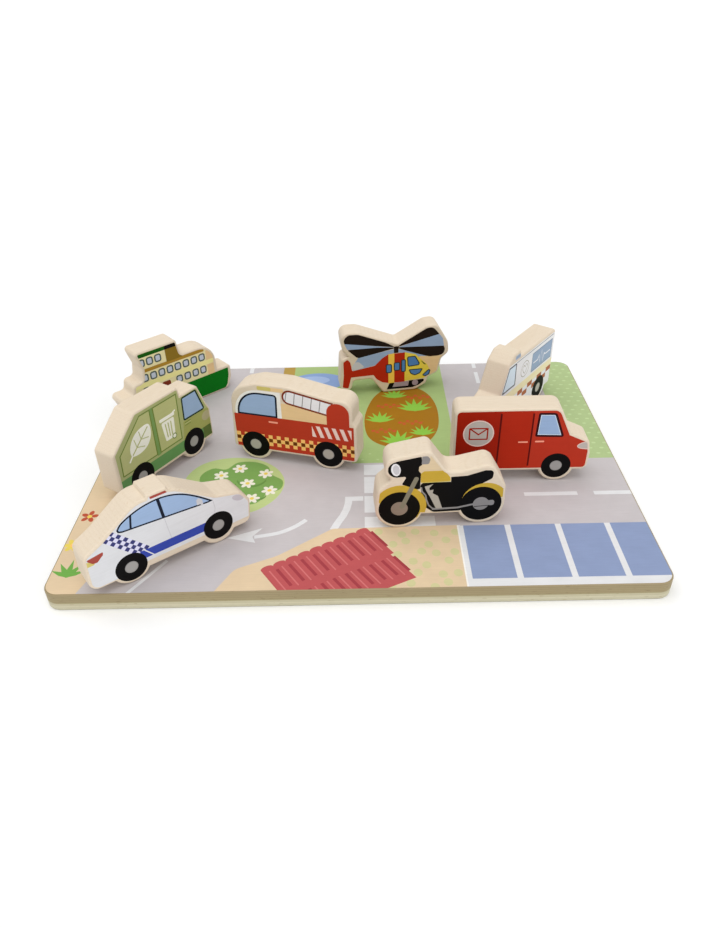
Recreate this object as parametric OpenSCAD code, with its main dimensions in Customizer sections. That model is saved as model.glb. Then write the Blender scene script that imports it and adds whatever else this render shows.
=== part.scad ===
// Chunky wooden vehicle puzzle: a two-layer board with a play scene on top, eight
// vehicle-shaped pockets in its underside, and eight blocks that fit them.
// The blocks stand on the play scene, each on its own sole.
// Origin: centre of the board's underside. +X runs to the right, +Y to the back, +Z up.

/* [Board] */
// Length of the board from left to right
board_l = 300; // [285:5:400]
// Depth of the board from front to back
board_d = 225; // [200:5:300]
// Thickness of the upper layer, which carries the play scene
panel_t = 5.5; // [3:0.5:9]
// Thickness of the lower layer, which the pockets go through
tray_t = 4.5; // [4:0.5:9]
// Radius of the board's four corners in plan
corner_r = 8; // [4:1:20]
// Radius of the sanded edge round both faces of the board
ease_r = 0.8; // [0.4:0.1:2]

/* [Blocks] */
// Thickness of every vehicle block
block_t = 15; // [10:0.5:20]
// Radius of the rounded-over edge round both faces of a block
edge_r = 1.3; // [0.8:0.1:2]
// Radius of the bulge that each road wheel makes in its block's outline
wheel_r = 10; // [9:0.1:11]
// Clearance between a block and the wall of its pocket
pocket_gap = 0.8; // [0.4:0.1:1.2]

/* [Ferry] */
// Length of the ferry
ferry_l = 81; // [75:0.5:90]
// Height of the ferry
ferry_h = 47.2; // [42:0.5:55]

/* [Recycling truck] */
// Length of the recycling truck
truck_l = 73; // [65:0.5:85]
// Height of the recycling truck
truck_h = 49; // [42:0.5:55]

/* [Police car] */
// Length of the police car
police_l = 86; // [75:0.5:90]
// Height of the police car
police_h = 45; // [40:0.5:55]

/* [Fire engine] */
// Length of the fire engine
fire_l = 75; // [65:0.5:85]
// Height of the fire engine
fire_h = 51; // [45:0.5:55]

/* [Helicopter] */
// Length of the helicopter
heli_l = 73; // [65:0.5:85]
// Height of the helicopter
heli_h = 46.5; // [42:0.5:55]

/* [Ambulance] */
// Length of the ambulance
ambulance_l = 79.5; // [70:0.5:88]
// Height of the ambulance
ambulance_h = 49.2; // [42:0.5:55]

/* [Van] */
// Length of the van
van_l = 75; // [65:0.5:85]
// Height of the van
van_h = 46.7; // [42:0.5:55]

/* [Motorcycle] */
// Length of the motorcycle
moto_l = 67.5; // [60:0.5:80]
// Height of the motorcycle
moto_h = 46.8; // [40:0.5:55]
// Radius of the bulge that each wheel makes in the motorcycle's outline
moto_wheel_r = 12.3; // [10.5:0.1:13]

/* [Hidden] */

board_t = tray_t + panel_t;
// How far a cutting solid runs past the faces that it cuts
overrun = 1;
// Largest angle that one straight side of a rounded stretch spans
step_angle = 12;
// Straight steps in the quarter round of a block's edge
edge_steps = 3;
// Half of the angle at a wheel's centre that its flat sole spans
sole_angle = 10;
$fn = 96;

// Where the middle of each block stands, from the board's centre, in shares of its
// length and depth, and the angle that the block is turned through
ferry_place_shares = [-0.4027, 0.2902];
ferry_angle = 41.5;
truck_place_shares = [-0.3767, -0.0475];
truck_angle = 57;
police_place_shares = [-0.3096, -0.3763];
police_angle = 37;
fire_place_shares = [-0.113, -0.0085];
fire_angle = -16;
heli_place_shares = [0.0803, 0.3612];
heli_angle = 8.5;
ambulance_place_shares = [0.326, 0.2018];
ambulance_angle = 52;
van_place_shares = [0.3, -0.0982];
van_angle = -0.5;
moto_place_shares = [0.1409, -0.2638];
moto_angle = 3.5;

// Outline corners run anticlockwise as [x share of the length, height share, radius
// share of the height], from the left end of the underside; a sharp corner has no
// radius. Axles are shares of the length. The underside of a road vehicle has three
// heights: left of its wheels, between them and right of them
truck_axle_shares = [0.22, 0.78];
truck_under_shares = [0.125, 0.12, 0.115];
truck_shares = [[1, 0.115, 0.05], [1, 0.51, 0.06], [0.97, 0.6, 0.06], [0.9, 0.885, 0.06],
    [0.715, 0.885, 0], [0.705, 1, 0.05], [0.26, 1, 0.06], [0, 0.65, 0.06], [0, 0.125, 0.05]];

police_axle_shares = [0.24, 0.775];
police_under_shares = [0.11, 0.105, 0.1];
police_shares = [[0.985, 0.1, 0.09], [1, 0.4, 0.11], [0.945, 0.56, 0.13], [0.79, 0.645, 0.18],
    [0.57, 0.94, 0.27], [0.53, 0.965, 0], [0.52, 1, 0], [0.405, 1, 0],
    [0.395, 0.965, 0], [0.33, 0.97, 0.3], [0.12, 0.68, 0.09], [0.005, 0.56, 0.09],
    [0, 0.11, 0.11]];

fire_axle_shares = [0.18, 0.77];
fire_under_shares = [0.135, 0.125, 0.13];
fire_shares = [[1, 0.13, 0.05], [1, 0.595, 0.05], [0.971, 0.65, 0], [0.971, 0.9, 0.13],
    [0.82, 0.905, 0.08], [0.465, 1, 0.12], [0.235, 1, 0.16], [0.02, 0.9, 0.24], [0, 0.135, 0.05]];

ambulance_axle_shares = [0.21, 0.8];
ambulance_under_shares = [0.12, 0.13, 0.125];
ambulance_shares = [[1, 0.125, 0.05], [1, 0.915, 0.06], [0.412, 0.915, 0], [0.402, 1, 0.05],
    [0.305, 1, 0.05], [0.22, 0.9, 0.08], [0.115, 0.56, 0.06], [0, 0.48, 0.08], [0, 0.12, 0.06]];

van_axle_shares = [0.2, 0.765];
van_under_shares = [0.155, 0.148, 0.15];
van_shares = [[0.99, 0.15, 0.085], [1, 0.365, 0.13], [0.98, 0.555, 0.085], [0.842, 0.66, 0],
    [0.745, 1, 0.12], [0, 1, 0.085], [0, 0.155, 0.055]];

// The motorcycle stands on its wheels alone: its outline follows each wheel from the
// first angle to the second
moto_axle_shares = [0.185, 0.805];
moto_front_arc = [182, 340];
moto_rear_arc = [202, 365];
moto_shares = [[0.985, 0.49, 0.09], [0.893, 0.735, 0.09], [0.845, 0.785, 0.09],
    [0.635, 0.72, 0.18], [0.54, 0.715, 0.11], [0.407, 1, 0.08], [0.086, 0.91, 0.11],
    [0.077, 0.72, 0.06], [0.13, 0.66, 0.04], [0.02, 0.52, 0.13]];

heli_shares = [[0.395, 0, 0.05], [0.7, 0, 0.13], [0.8, 0.09, 0.07], [0.815, 0.19, 0],
    [0.905, 0.255, 0.085], [0.935, 0.47, 0.05], [1, 0.555, 0.085], [0.99, 0.725, 0.17],
    [0.885, 1, 0.11], [0.79, 0.99, 0.13], [0.528, 0.755, 0.06], [0.175, 0.975, 0.19],
    [0.015, 0.98, 0.11], [0.03, 0.72, 0.11], [0.08, 0.615, 0], [0.02, 0.585, 0.06],
    [0, 0.085, 0.06], [0.102, 0.085, 0.06], [0.121, 0.235, 0.06], [0.29, 0.24, 0.09]];

ferry_shares = [[0.1, 0, 0.11], [0.955, 0, 0.11], [1, 0.17, 0.21], [1, 0.36, 0.05],
    [0.875, 0.36, 0], [0.867, 0.775, 0.27], [0.57, 0.775, 0.05], [0.55, 1, 0.05],
    [0.19, 1, 0.05], [0.235, 0.745, 0.06], [0.22, 0.57, 0.06], [0.14, 0.565, 0.06],
    [0.125, 0.415, 0.06], [0, 0.415, 0.06]];

board_colour = [0.84, 0.82, 0.8];
tray_colour = [0.8, 0.78, 0.68];
boat_green = [0.05, 0.43, 0.12];
leaf_green = [0.53, 0.62, 0.36];
car_white = [0.84, 0.85, 0.87];
engine_red = [0.63, 0.18, 0.12];
heli_orange = [0.75, 0.3, 0.12];
ambulance_cream = [0.93, 0.88, 0.72];
van_red = [0.68, 0.17, 0.12];
moto_yellow = [0.82, 0.66, 0.2];

function unit(v) = v / norm(v);
function scaled(shares, l, h) = [for (s = shares) [s.x * l, s.y * h, s.z * h]];
function sum(values) = len(values) == 0 ? 0 : values * [for (v = values) 1];

// Sharp points along an arc about [x, z], from one angle to another
function arc(x, z, r, from, to) = let (steps = ceil(abs(to - from) / step_angle))
    [for (k = [0 : steps])
        let (a = from + (to - from) * k / steps)
        [x + r * cos(a), z + r * sin(a), 0]];

// Underside of a wheel that stands on the ground, with its flat sole between two arcs
function wheel_arc(x, r, from, to) = let (z = r * cos(sole_angle)) concat(
    arc(x, z, r, from, 270 - sole_angle),
    arc(x, z, r, 270 + sole_angle, to));

// Angle below a road wheel's axle at which its rim meets the underside
function dip(under) = asin(cos(sole_angle) - under / wheel_r);

// The rounded points of one corner [x, z, radius] between its two neighbours
function corner_points(corner, before, after) = let (
        p = [corner.x, corner.y],
        u = unit([before.x, before.y] - p),
        v = unit([after.x, after.y] - p),
        half = acos(u * v) / 2,
        way = sign(cross(-u, v)),
        turn = 180 - 2 * half,
        centre = p + unit(u + v) * corner.z / sin(half),
        start = atan2(-u.y, -u.x) - 90 * way,
        steps = max(1, ceil(turn / step_angle)))
    [for (k = [0 : steps])
        let (a = start + way * turn * k / steps)
        centre + corner.z * [cos(a), sin(a)]];

function rounded(corners) = let (n = len(corners))
    [for (i = [0 : n - 1])
        each corners[i].z == 0
            ? [[corners[i].x, corners[i].y]]
            : corner_points(corners[i], corners[(i + n - 1) % n], corners[(i + 1) % n])];

// The same outline moved inward by d, or outward where d is negative
function inset(points, d) = let (n = len(points))
    [for (i = [0 : n - 1])
        let (
            a = unit(points[i] - points[(i + n - 1) % n]),
            b = unit(points[(i + 1) % n] - points[i]))
        points[i] + d * ([-a.y, a.x] + [-b.y, b.x]) / (1 + a * b)];

function road_outline(shares, axle_shares, under_shares, l, h) =
    let (dips = [for (share = under_shares) dip(share * h)])
    rounded(concat(
        wheel_arc(axle_shares[0] * l, wheel_r, 180 + dips[0], 360 - dips[1]),
        wheel_arc(axle_shares[1] * l, wheel_r, 180 + dips[1], 360 - dips[2]),
        scaled(shares, l, h)));

truck_outline = road_outline(truck_shares, truck_axle_shares, truck_under_shares,
    truck_l, truck_h);
police_outline = road_outline(police_shares, police_axle_shares, police_under_shares,
    police_l, police_h);
fire_outline = road_outline(fire_shares, fire_axle_shares, fire_under_shares, fire_l, fire_h);
ambulance_outline = road_outline(ambulance_shares, ambulance_axle_shares,
    ambulance_under_shares, ambulance_l, ambulance_h);
van_outline = road_outline(van_shares, van_axle_shares, van_under_shares, van_l, van_h);
moto_outline = rounded(concat(
    wheel_arc(moto_axle_shares[0] * moto_l, moto_wheel_r, moto_front_arc[0], moto_front_arc[1]),
    wheel_arc(moto_axle_shares[1] * moto_l, moto_wheel_r, moto_rear_arc[0], moto_rear_arc[1]),
    scaled(moto_shares, moto_l, moto_h)));
heli_outline = rounded(scaled(heli_shares, heli_l, heli_h));
ferry_outline = rounded(scaled(ferry_shares, ferry_l, ferry_h));

// The pockets lie in three rows, and the middle row leaves the board's centre solid
pocket_rows = [
    [[police_outline, police_l, police_h], [fire_outline, fire_l, fire_h],
        [van_outline, van_l, van_h]],
    [[moto_outline, moto_l, moto_h], [ambulance_outline, ambulance_l, ambulance_h]],
    [[ferry_outline, ferry_l, ferry_h], [truck_outline, truck_l, truck_h],
        [heli_outline, heli_l, heli_h]]];

// Whether p lies in the triangle a, b, c, or on one of its sides
function covered(p, a, b, c) = cross(b - a, p - a) >= 0 && cross(c - b, p - b) >= 0
    && cross(a - c, p - c) >= 0;

// Whether corner i of the ring of point numbers can be cut off as a triangle
function is_ear(points, ring, i) = let (
        n = len(ring),
        a = points[ring[(i + n - 1) % n]],
        b = points[ring[i]],
        c = points[ring[(i + 1) % n]])
    cross(b - a, c - b) > 0 && len([for (k = [2 : 1 : n - 2])
        if (covered(points[ring[(i + k) % n]], a, b, c)) k]) == 0;

function first_ear(points, ring, i) = i == len(ring) - 1 || is_ear(points, ring, i)
    ? i : first_ear(points, ring, i + 1);

// Splits the flat face inside a ring into triangles, which cover no point outside it
function face_triangles(points, ring) = let (n = len(ring))
    n == 3 ? [ring] : let (i = first_ear(points, ring, 0)) concat(
        [[ring[(i + n - 1) % n], ring[i], ring[(i + 1) % n]]],
        face_triangles(points, [for (k = [0 : n - 1]) if (k != i) ring[k]]));

// A slab that is rounded over round both faces, as rings of one outline
module rounded_slab(points) {
    n = len(points);
    quarter = [for (k = [0 : edge_steps]) 90 * k / edge_steps];
    rings = concat(
        [for (a = quarter) [edge_r * (1 - sin(a)), edge_r * (1 - cos(a))]],
        [for (a = quarter) [edge_r * (1 - cos(a)), block_t - edge_r * (1 - sin(a))]]);
    last = len(rings) - 1;
    face = face_triangles(inset(points, edge_r), [for (i = [0 : n - 1]) i]);
    polyhedron(
        points = [for (ring = rings) for (p = inset(points, ring[0])) [p.x, p.y, ring[1]]],
        faces = concat(
            face,
            [for (t = face) [for (i = [2 : -1 : 0]) last * n + t[i]]],
            [for (k = [0 : last - 1]) for (i = [0 : n - 1])
                let (j = (i + 1) % n)
                [k * n + i, (k + 1) * n + i, (k + 1) * n + j, k * n + j]]));
}

// A block that stands upright on the board, its front face towards the front
module block(outline, l, place_shares, turn) {
    translate([place_shares.x * board_l, place_shares.y * board_d, board_t])
        rotate([0, 0, turn])
            translate([-l / 2, block_t / 2, 0])
                rotate([90, 0, 0])
                    rounded_slab(outline);
}

// Cross-section of the board's rim, from the centre of a corner outwards
module rim_profile(thickness) {
    square([corner_r - ease_r, thickness]);
    square([corner_r, thickness - ease_r]);
    translate([corner_r - ease_r, thickness - ease_r])
        circle(r = ease_r);
}

// A board layer whose upper edge is sanded round
module eased_plate(thickness) {
    inner_l = board_l - 2 * corner_r;
    inner_d = board_d - 2 * corner_r;
    sides = [[inner_l, inner_d, 0], [inner_d, inner_l, 90], [inner_l, inner_d, 180],
        [inner_d, inner_l, 270]];
    translate([-inner_l / 2, -inner_d / 2, 0])
        cube([inner_l, inner_d, thickness]);
    for (side = sides)
        rotate([0, 0, side[2]])
            translate([side[0] / 2, side[1] / 2, 0]) {
                rotate_extrude(angle = 90)
                    rim_profile(thickness);
                rotate([90, 0, 0])
                    linear_extrude(height = side[1])
                        rim_profile(thickness);
            }
}

// Every pocket, cut through the lower layer and read from below
module pockets() {
    pitch = board_d / len(pocket_rows);
    for (r = [0 : len(pocket_rows) - 1]) {
        row = pocket_rows[r];
        lengths = [for (pocket = row) pocket[1]];
        rib = (board_l - sum(lengths)) / (len(row) + 1);
        for (c = [0 : len(row) - 1]) {
            before = sum([for (k = [0 : 1 : c - 1]) lengths[k]]);
            left = board_l / 2 - rib * (c + 1) - before;
            bottom = (r + 1 / 2) * pitch - board_d / 2 - row[c][2] / 2;
            translate([left, bottom, -overrun])
                linear_extrude(height = tray_t + 2 * overrun)
                    mirror([1, 0, 0])
                        polygon(inset(row[c][0], -pocket_gap));
        }
    }
}

module play_panel() {
    color(board_colour)
        translate([0, 0, tray_t])
            eased_plate(panel_t);
}

module tray_layer() {
    color(tray_colour)
        difference() {
            translate([0, 0, tray_t])
                mirror([0, 0, 1])
                    eased_plate(tray_t);
            pockets();
        }
}

module ferry() {
    color(boat_green)
        block(ferry_outline, ferry_l, ferry_place_shares, ferry_angle);
}

module recycling_truck() {
    color(leaf_green)
        block(truck_outline, truck_l, truck_place_shares, truck_angle);
}

module police_car() {
    color(car_white)
        block(police_outline, police_l, police_place_shares, police_angle);
}

module fire_engine() {
    color(engine_red)
        block(fire_outline, fire_l, fire_place_shares, fire_angle);
}

module helicopter() {
    color(heli_orange)
        block(heli_outline, heli_l, heli_place_shares, heli_angle);
}

module ambulance() {
    color(ambulance_cream)
        block(ambulance_outline, ambulance_l, ambulance_place_shares, ambulance_angle);
}

module red_van() {
    color(van_red)
        block(van_outline, van_l, van_place_shares, van_angle);
}

module motorcycle() {
    color(moto_yellow)
        block(moto_outline, moto_l, moto_place_shares, moto_angle);
}

play_panel();
tray_layer();
ferry();
recycling_truck();
police_car();
fire_engine();
helicopter();
ambulance();
red_van();
motorcycle();
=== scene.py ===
import math
from functools import cache

import bpy
import numpy as np
from mathutils import Matrix, Vector
from mathutils.geometry import delaunay_2d_cdt


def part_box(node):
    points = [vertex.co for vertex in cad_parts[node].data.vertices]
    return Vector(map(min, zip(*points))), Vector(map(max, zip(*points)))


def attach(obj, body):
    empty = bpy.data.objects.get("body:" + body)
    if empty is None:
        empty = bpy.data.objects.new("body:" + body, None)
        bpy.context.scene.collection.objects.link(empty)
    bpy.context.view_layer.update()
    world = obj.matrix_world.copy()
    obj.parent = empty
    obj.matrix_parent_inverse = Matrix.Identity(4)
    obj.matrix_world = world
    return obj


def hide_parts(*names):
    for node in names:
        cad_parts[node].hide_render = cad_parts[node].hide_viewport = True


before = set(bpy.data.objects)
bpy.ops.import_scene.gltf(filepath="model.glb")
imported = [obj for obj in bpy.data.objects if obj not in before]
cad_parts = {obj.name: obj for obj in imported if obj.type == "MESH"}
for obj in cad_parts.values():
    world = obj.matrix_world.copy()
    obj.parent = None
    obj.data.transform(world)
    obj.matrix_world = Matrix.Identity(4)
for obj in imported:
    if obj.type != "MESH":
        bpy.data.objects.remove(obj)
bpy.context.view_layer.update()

MM = 0.001
BOARD_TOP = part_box("play_panel")[1].z

# Sizes in metres
PRINT = 0.05 * MM          # how far a vehicle's print stands proud of its wood
SCENE_PRINT = 0.6 * PRINT  # the same for the play scene
KEYED = 0.02 * MM          # how far a print reaches into its wood
NEAR = 0.01 * MM           # points this near to a block's face lie in it

# Sizes in millimetres
EDGE = 1.3          # radius of a block's rounded-over edge
PRINT_INSET = 0.05  # from the rim of a block's face to its print
RIM = 0.8           # the sanded edge round the board, which the print stops at
CORNER = 8.0        # radius of the board's corners
MERGE = 1e-4        # flat points nearer than this become one
SLIVER = 1e-7       # a flat triangle of less than half this area is left out


# Colours

def linear(colour):
    """A colour as it looks, turned into the light that it stands for."""
    return [c / 12.92 if c <= 0.04045 else ((c + 0.055) / 1.055) ** 2.4 for c in colour]


INKS = {
    "white": (0.93, 0.93, 0.94), "milk": (0.95, 0.945, 0.93), "car_white": (0.87, 0.875, 0.89),
    "black": (0.03, 0.025, 0.025), "navy": (0.10, 0.12, 0.18), "glass": (0.62, 0.72, 0.86),
    "grey": (0.56, 0.55, 0.55), "hub_edge": (0.60, 0.59, 0.58), "hub": (0.64, 0.63, 0.62),
    "hub_pale": (0.75, 0.74, 0.70), "silver": (0.70, 0.68, 0.64), "pale_grey": (0.80, 0.80, 0.82),
    # Painted shade: tan on the fire engine and ferry, and the ink after it on the motorcycle,
    # stand for bare wood of a front face in shade
    "tan": (0.93, 0.80, 0.60), "wheat": (0.87, 0.79, 0.65), "engine_red": (0.73, 0.23, 0.14),
    "brick": (0.50, 0.20, 0.12), "amber": (0.99, 0.78, 0.45), "old_gold": (0.84, 0.78, 0.46),
    "soot": (0.42, 0.22, 0.05), "blush": (0.95, 0.84, 0.80), "pink": (0.98, 0.66, 0.56),
    "lamp_red": (0.66, 0.30, 0.26), "check_navy": (0.24, 0.25, 0.46),
    "lavender": (0.87, 0.87, 0.96), "rust": (0.69, 0.42, 0.28), "nose_yellow": (0.93, 0.84, 0.31),
    "police_blue": (0.22, 0.29, 0.66), "lamp_grey": (0.78, 0.76, 0.79),
    "van_dark": (0.64, 0.12, 0.03), "van_red": (0.71, 0.165, 0.07),
    "van_light": (0.74, 0.21, 0.13), "seam": (0.36, 0.04, 0.02), "maroon": (0.20, 0.04, 0.07),
    "emblem_grey": (0.77, 0.73, 0.70), "heli_red": (0.72, 0.17, 0.07),
    "heli_yellow": (0.98, 0.81, 0.33), "blade": (0.13, 0.09, 0.07), "sky": (0.60, 0.69, 0.82),
    "heli_glass": (0.33, 0.52, 0.76), "mauve_grey": (0.66, 0.60, 0.64),
    "moto_yellow": (0.79, 0.66, 0.24), "hub_warm": (0.57, 0.51, 0.46), "fork": (0.53, 0.51, 0.44),
    "leaf": (0.755, 0.765, 0.53), "leaf_pale": (0.70, 0.72, 0.50),
    # Painted shade: leaf_cab is a darker, browner copy of the truck's green for its shaded cab
    "leaf_cab": (0.655, 0.665, 0.39), "leaf_line": (0.46, 0.54, 0.26),
    "leaf_post": (0.50, 0.63, 0.37), "pine": (0.15, 0.22, 0.17), "leaf_band": (0.41, 0.60, 0.36),
    "leaf_dark": (0.37, 0.44, 0.22), "chalk": (0.99, 0.985, 0.94), "haze": (0.72, 0.69, 0.55),
    "hull": (0.01, 0.45, 0.08), "hull_dark": (0.10, 0.36, 0.07), "deck": (0.94, 0.90, 0.70),
    "deck_yellow": (0.97, 0.94, 0.65), "gold": (0.70, 0.54, 0.20), "funnel": (0.56, 0.45, 0.15),
    "port": (0.79, 0.82, 0.88), "port_line": (0.32, 0.38, 0.36), "cream": (0.95, 0.91, 0.75),
    "rescue_red": (0.72, 0.32, 0.22), "steel": (0.60, 0.68, 0.78), "cord_blue": (0.45, 0.52, 0.62),
    "slate": (0.35, 0.36, 0.39), "pale_glass": (0.87, 0.93, 0.98), "road": (0.77, 0.75, 0.76),
    "paint": (0.88, 0.885, 0.895), "lawn": (0.66, 0.755, 0.50), "lawn_dot": (0.72, 0.80, 0.57),
    "verge": (0.68, 0.76, 0.55), "verge_dot": (0.74, 0.82, 0.61), "pond": (0.54, 0.64, 0.82),
    "pond_light": (0.64, 0.73, 0.88), "trunk": (0.70, 0.58, 0.29), "soil": (0.64, 0.45, 0.11),
    "sprout": (0.55, 0.77, 0.29), "berry": (0.76, 0.35, 0.19), "lot": (0.87, 0.78, 0.65),
    "lot_dot": (0.81, 0.79, 0.60), "hedge": (0.44, 0.67, 0.31), "tile": (0.73, 0.34, 0.35),
    "tile_dark": (0.63, 0.25, 0.28), "tile_light": (0.81, 0.45, 0.45), "bay": (0.55, 0.61, 0.75),
    "bush_light": (0.74, 0.81, 0.55), "bush": (0.49, 0.65, 0.35), "bush_dark": (0.41, 0.57, 0.29),
    "petal": (0.93, 0.92, 0.86), "pollen": (0.91, 0.82, 0.38),
}


def new_material(name):
    material = bpy.data.materials.new(name)
    material.use_nodes = True
    tree = material.node_tree
    return material, tree, tree.nodes["Principled BSDF"]


def feed(tree, socket, value):
    """Links a socket to the one that feeds it, or else sets its value."""
    if isinstance(value, bpy.types.NodeSocket):
        tree.links.new(value, socket)
    else:
        socket.default_value = value


def node(tree, kind, settings=None, **inputs):
    made = tree.nodes.new("ShaderNode" + kind)
    for key, value in (settings or {}).items():
        setattr(made, key, value)
    for key, value in inputs.items():
        feed(tree, made.inputs[key.replace("_", " ")], value)
    return made


def stretched(tree, source, scale):
    """Coordinates scaled by axis; a low scale draws a pattern out along the grain."""
    return node(tree, "Mapping", Vector=source, Scale=scale).outputs["Vector"]


def noise(tree, source, scale, detail=3.0, rough=0.55):
    made = node(tree, "TexNoise", Vector=stretched(tree, source, scale),
                Scale=1.0, Detail=detail, Roughness=rough)
    return made.outputs["Fac"]


def ramp(tree, factor, stops):
    made = node(tree, "ValToRGB", Fac=factor)
    elements = made.color_ramp.elements
    while len(elements) < len(stops):
        elements.new(0.5)
    for element, (place, colour) in zip(elements, stops):
        element.position = place
        element.color = (*colour, 1.0)
    return made.outputs["Color"]


def mixed(tree, kind, factor, first, second):
    """Two colours blended; the node's sockets for colours have these numbers."""
    made = node(tree, "Mix", {"data_type": "RGBA", "blend_type": kind})
    for number, value in ((0, factor), (6, first), (7, second)):
        feed(tree, made.inputs[number], value)
    return made.outputs[2]


def maths(tree, operation, first, second):
    """A sum or product kept between 0 and 1."""
    made = node(tree, "Math", {"operation": operation, "use_clamp": True})
    feed(tree, made.inputs[0], first)
    feed(tree, made.inputs[1], second)
    return made.outputs[0]


def spread(tree, factor, low, high):
    """The middle of a noise's range spread from low to high."""
    made = node(tree, "MapRange", Value=factor, From_Min=0.3, From_Max=0.7,
                To_Min=low, To_Max=high)
    return made.outputs["Result"]


def surface(tree, shader, colour, roughness, specular):
    for name, value in (("Base Color", colour), ("Roughness", roughness),
                        ("Specular IOR Level", specular)):
        feed(tree, shader.inputs[name], value)


def bumped(tree, shader, height, distance, strength):
    made = node(tree, "Bump", Height=height, Distance=distance, Strength=strength)
    tree.links.new(made.outputs["Normal"], shader.inputs["Normal"])


def coordinates(tree, kept):
    """The places kept with a mesh's points, or else the object's own coordinates."""
    if kept:
        return node(tree, "Attribute", {"attribute_name": "place"}).outputs["Vector"]
    return node(tree, "TexCoord").outputs["Object"]


@cache
def ink_material(name):
    """Screen ink on sanded wood: flat colour in which a little of the grain shows."""
    material, tree, shader = new_material("ink_" + name)
    colour = linear(INKS[name])
    place = coordinates(tree, True)
    grain = noise(tree, place, (90, 1400, 1400), 4.0)
    cloud = noise(tree, place, (110, 110, 110), 2.0)
    shade = ramp(tree, grain, [(0.30, (0.972, 0.969, 0.963)), (0.62, (1.012, 1.012, 1.01))])
    patch = ramp(tree, cloud, [(0.30, (0.97, 0.97, 0.97)), (0.70, (1.02, 1.02, 1.02))])
    tone = mixed(tree, "MULTIPLY", 1.0, (*colour, 1.0), shade)
    tone = mixed(tree, "MULTIPLY", 1.0, tone, patch)
    surface(tree, shader, tone, spread(tree, cloud, 0.46, 0.60), 0.08)
    bumped(tree, shader, grain, 0.02 * MM, 0.3)
    return material


def wood_material(name, pale, streak, fleck, kept=True, plies=None):
    """Sanded wood: wandering growth lines, fine fibres and short dark flecks.

    plies holds the lowest and highest point of a plywood edge and its tints from low to high.
    """
    material, tree, shader = new_material(name)
    place = coordinates(tree, kept)
    drift = noise(tree, place, (18, 60, 60), 2.0)
    lines = node(tree, "TexWave", {"wave_type": "BANDS", "bands_direction": "Z"},
                 Vector=stretched(tree, place, (10, 120, 260)), Scale=1.0, Distortion=5.0,
                 Detail=2.0, Detail_Scale=0.6, Detail_Roughness=0.5).outputs["Fac"]
    fibre = noise(tree, place, (130, 2200, 2200), 5.0, 0.6)
    pores = noise(tree, place, (260, 1500, 1500), 1.0)
    tone = ramp(tree, lines, [(0.0, linear(pale)), (0.75, linear(pale)), (1.0, linear(streak))])
    tone = mixed(tree, "MIX", spread(tree, drift, 0.0, 0.35), tone, (*linear(streak), 1.0))
    if plies:
        height = node(tree, "SeparateXYZ", Vector=place).outputs["Z"]
        step = node(tree, "MapRange", Value=height, From_Min=plies[0],
                    From_Max=plies[1], To_Min=0.0, To_Max=1.0).outputs["Result"]
        tone = mixed(tree, "MULTIPLY", 1.0, tone, ramp(tree, step, plies[2]))
    shade = ramp(tree, fibre, [(0.32, (0.955, 0.94, 0.92)), (0.60, (1.012, 1.012, 1.012))])
    tone = mixed(tree, "MULTIPLY", 1.0, tone, shade)
    marks = ramp(tree, pores, [(0.66, (0, 0, 0)), (0.72, (1, 1, 1))])
    tone = mixed(tree, "MIX", maths(tree, "MULTIPLY", marks, 0.5), tone, (*linear(fleck), 1.0))
    surface(tree, shader, tone, spread(tree, fibre, 0.52, 0.66), 0.3)
    bumped(tree, shader, fibre, 0.04 * MM, 0.35)
    return material


# Flat shapes, in millimetres

ARC_STEP = 10       # degrees from point to point of a round shape
CORNER_STEP = 0.26  # radians from point to point of a rounded corner
STRAIGHT = 1.5      # half the angle, in radians, from which a corner is taken as straight


def arc(x, y, r, start, end, ry=None):
    """Points from one angle to another, in degrees; ry is an ellipse's upright radius."""
    steps = max(2, math.ceil(abs(end - start) / ARC_STEP))
    ry = r if ry is None else ry
    return [(x + r * math.cos(math.radians(start + (end - start) * k / steps)),
             y + ry * math.sin(math.radians(start + (end - start) * k / steps)))
            for k in range(steps + 1)]


def disc(x, y, r, ry=None, turn=0.0):
    return turned(arc(x, y, r, 0, 360 - ARC_STEP, ry), turn, (x, y))


def crescent(x, y, outer, inner, start, end):
    """The band between two circles given as (x offset, y offset, radius)."""
    return (arc(x + outer[0], y + outer[1], outer[2], start, end)
            + arc(x + inner[0], y + inner[1], inner[2], end, start))


def turned(points, degrees, about=(0.0, 0.0)):
    c, s = math.cos(math.radians(degrees)), math.sin(math.radians(degrees))
    return [(about[0] + (x - about[0]) * c - (y - about[1]) * s,
             about[1] + (x - about[0]) * s + (y - about[1]) * c) for x, y in points]


def area(points):
    """Positive where the points run anticlockwise."""
    return sum(a[0] * b[1] - b[0] * a[1] for a, b in zip(points, points[1:] + points[:1])) / 2


def corner(before, point, after, r):
    """A corner rounded with radius r, or with the largest that its sides allow."""
    p, u, v = Vector(point), Vector(before) - Vector(point), Vector(after) - Vector(point)
    room = min(u.length, v.length) * 0.49
    u.normalize()
    v.normalize()
    half = math.acos(max(-1.0, min(1.0, u.dot(v)))) / 2
    if r <= 0 or half > STRAIGHT:
        return [tuple(point)]
    r = min(r, room * math.tan(half))
    centre = p + (u + v).normalized() * (r / math.sin(half))
    first, last = p + u * (r / math.tan(half)) - centre, p + v * (r / math.tan(half)) - centre
    sweep = first.angle_signed(last)
    steps = max(1, math.ceil(abs(sweep) / CORNER_STEP))
    return [tuple(centre + Matrix.Rotation(-sweep * k / steps, 2) @ first)
            for k in range(steps + 1)]


def soft(points, r):
    """A polygon with rounded corners; a point may carry a radius of its own."""
    flat = [(p[0], p[1]) for p in points]
    made = []
    for k, p in enumerate(points):
        made += corner(flat[k - 1], flat[k], flat[(k + 1) % len(flat)], p[2] if len(p) > 2 else r)
    return made


def box(x0, y0, x1, y1, r=0.0):
    return soft([(x0, y0), (x1, y0), (x1, y1), (x0, y1)], r)


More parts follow.
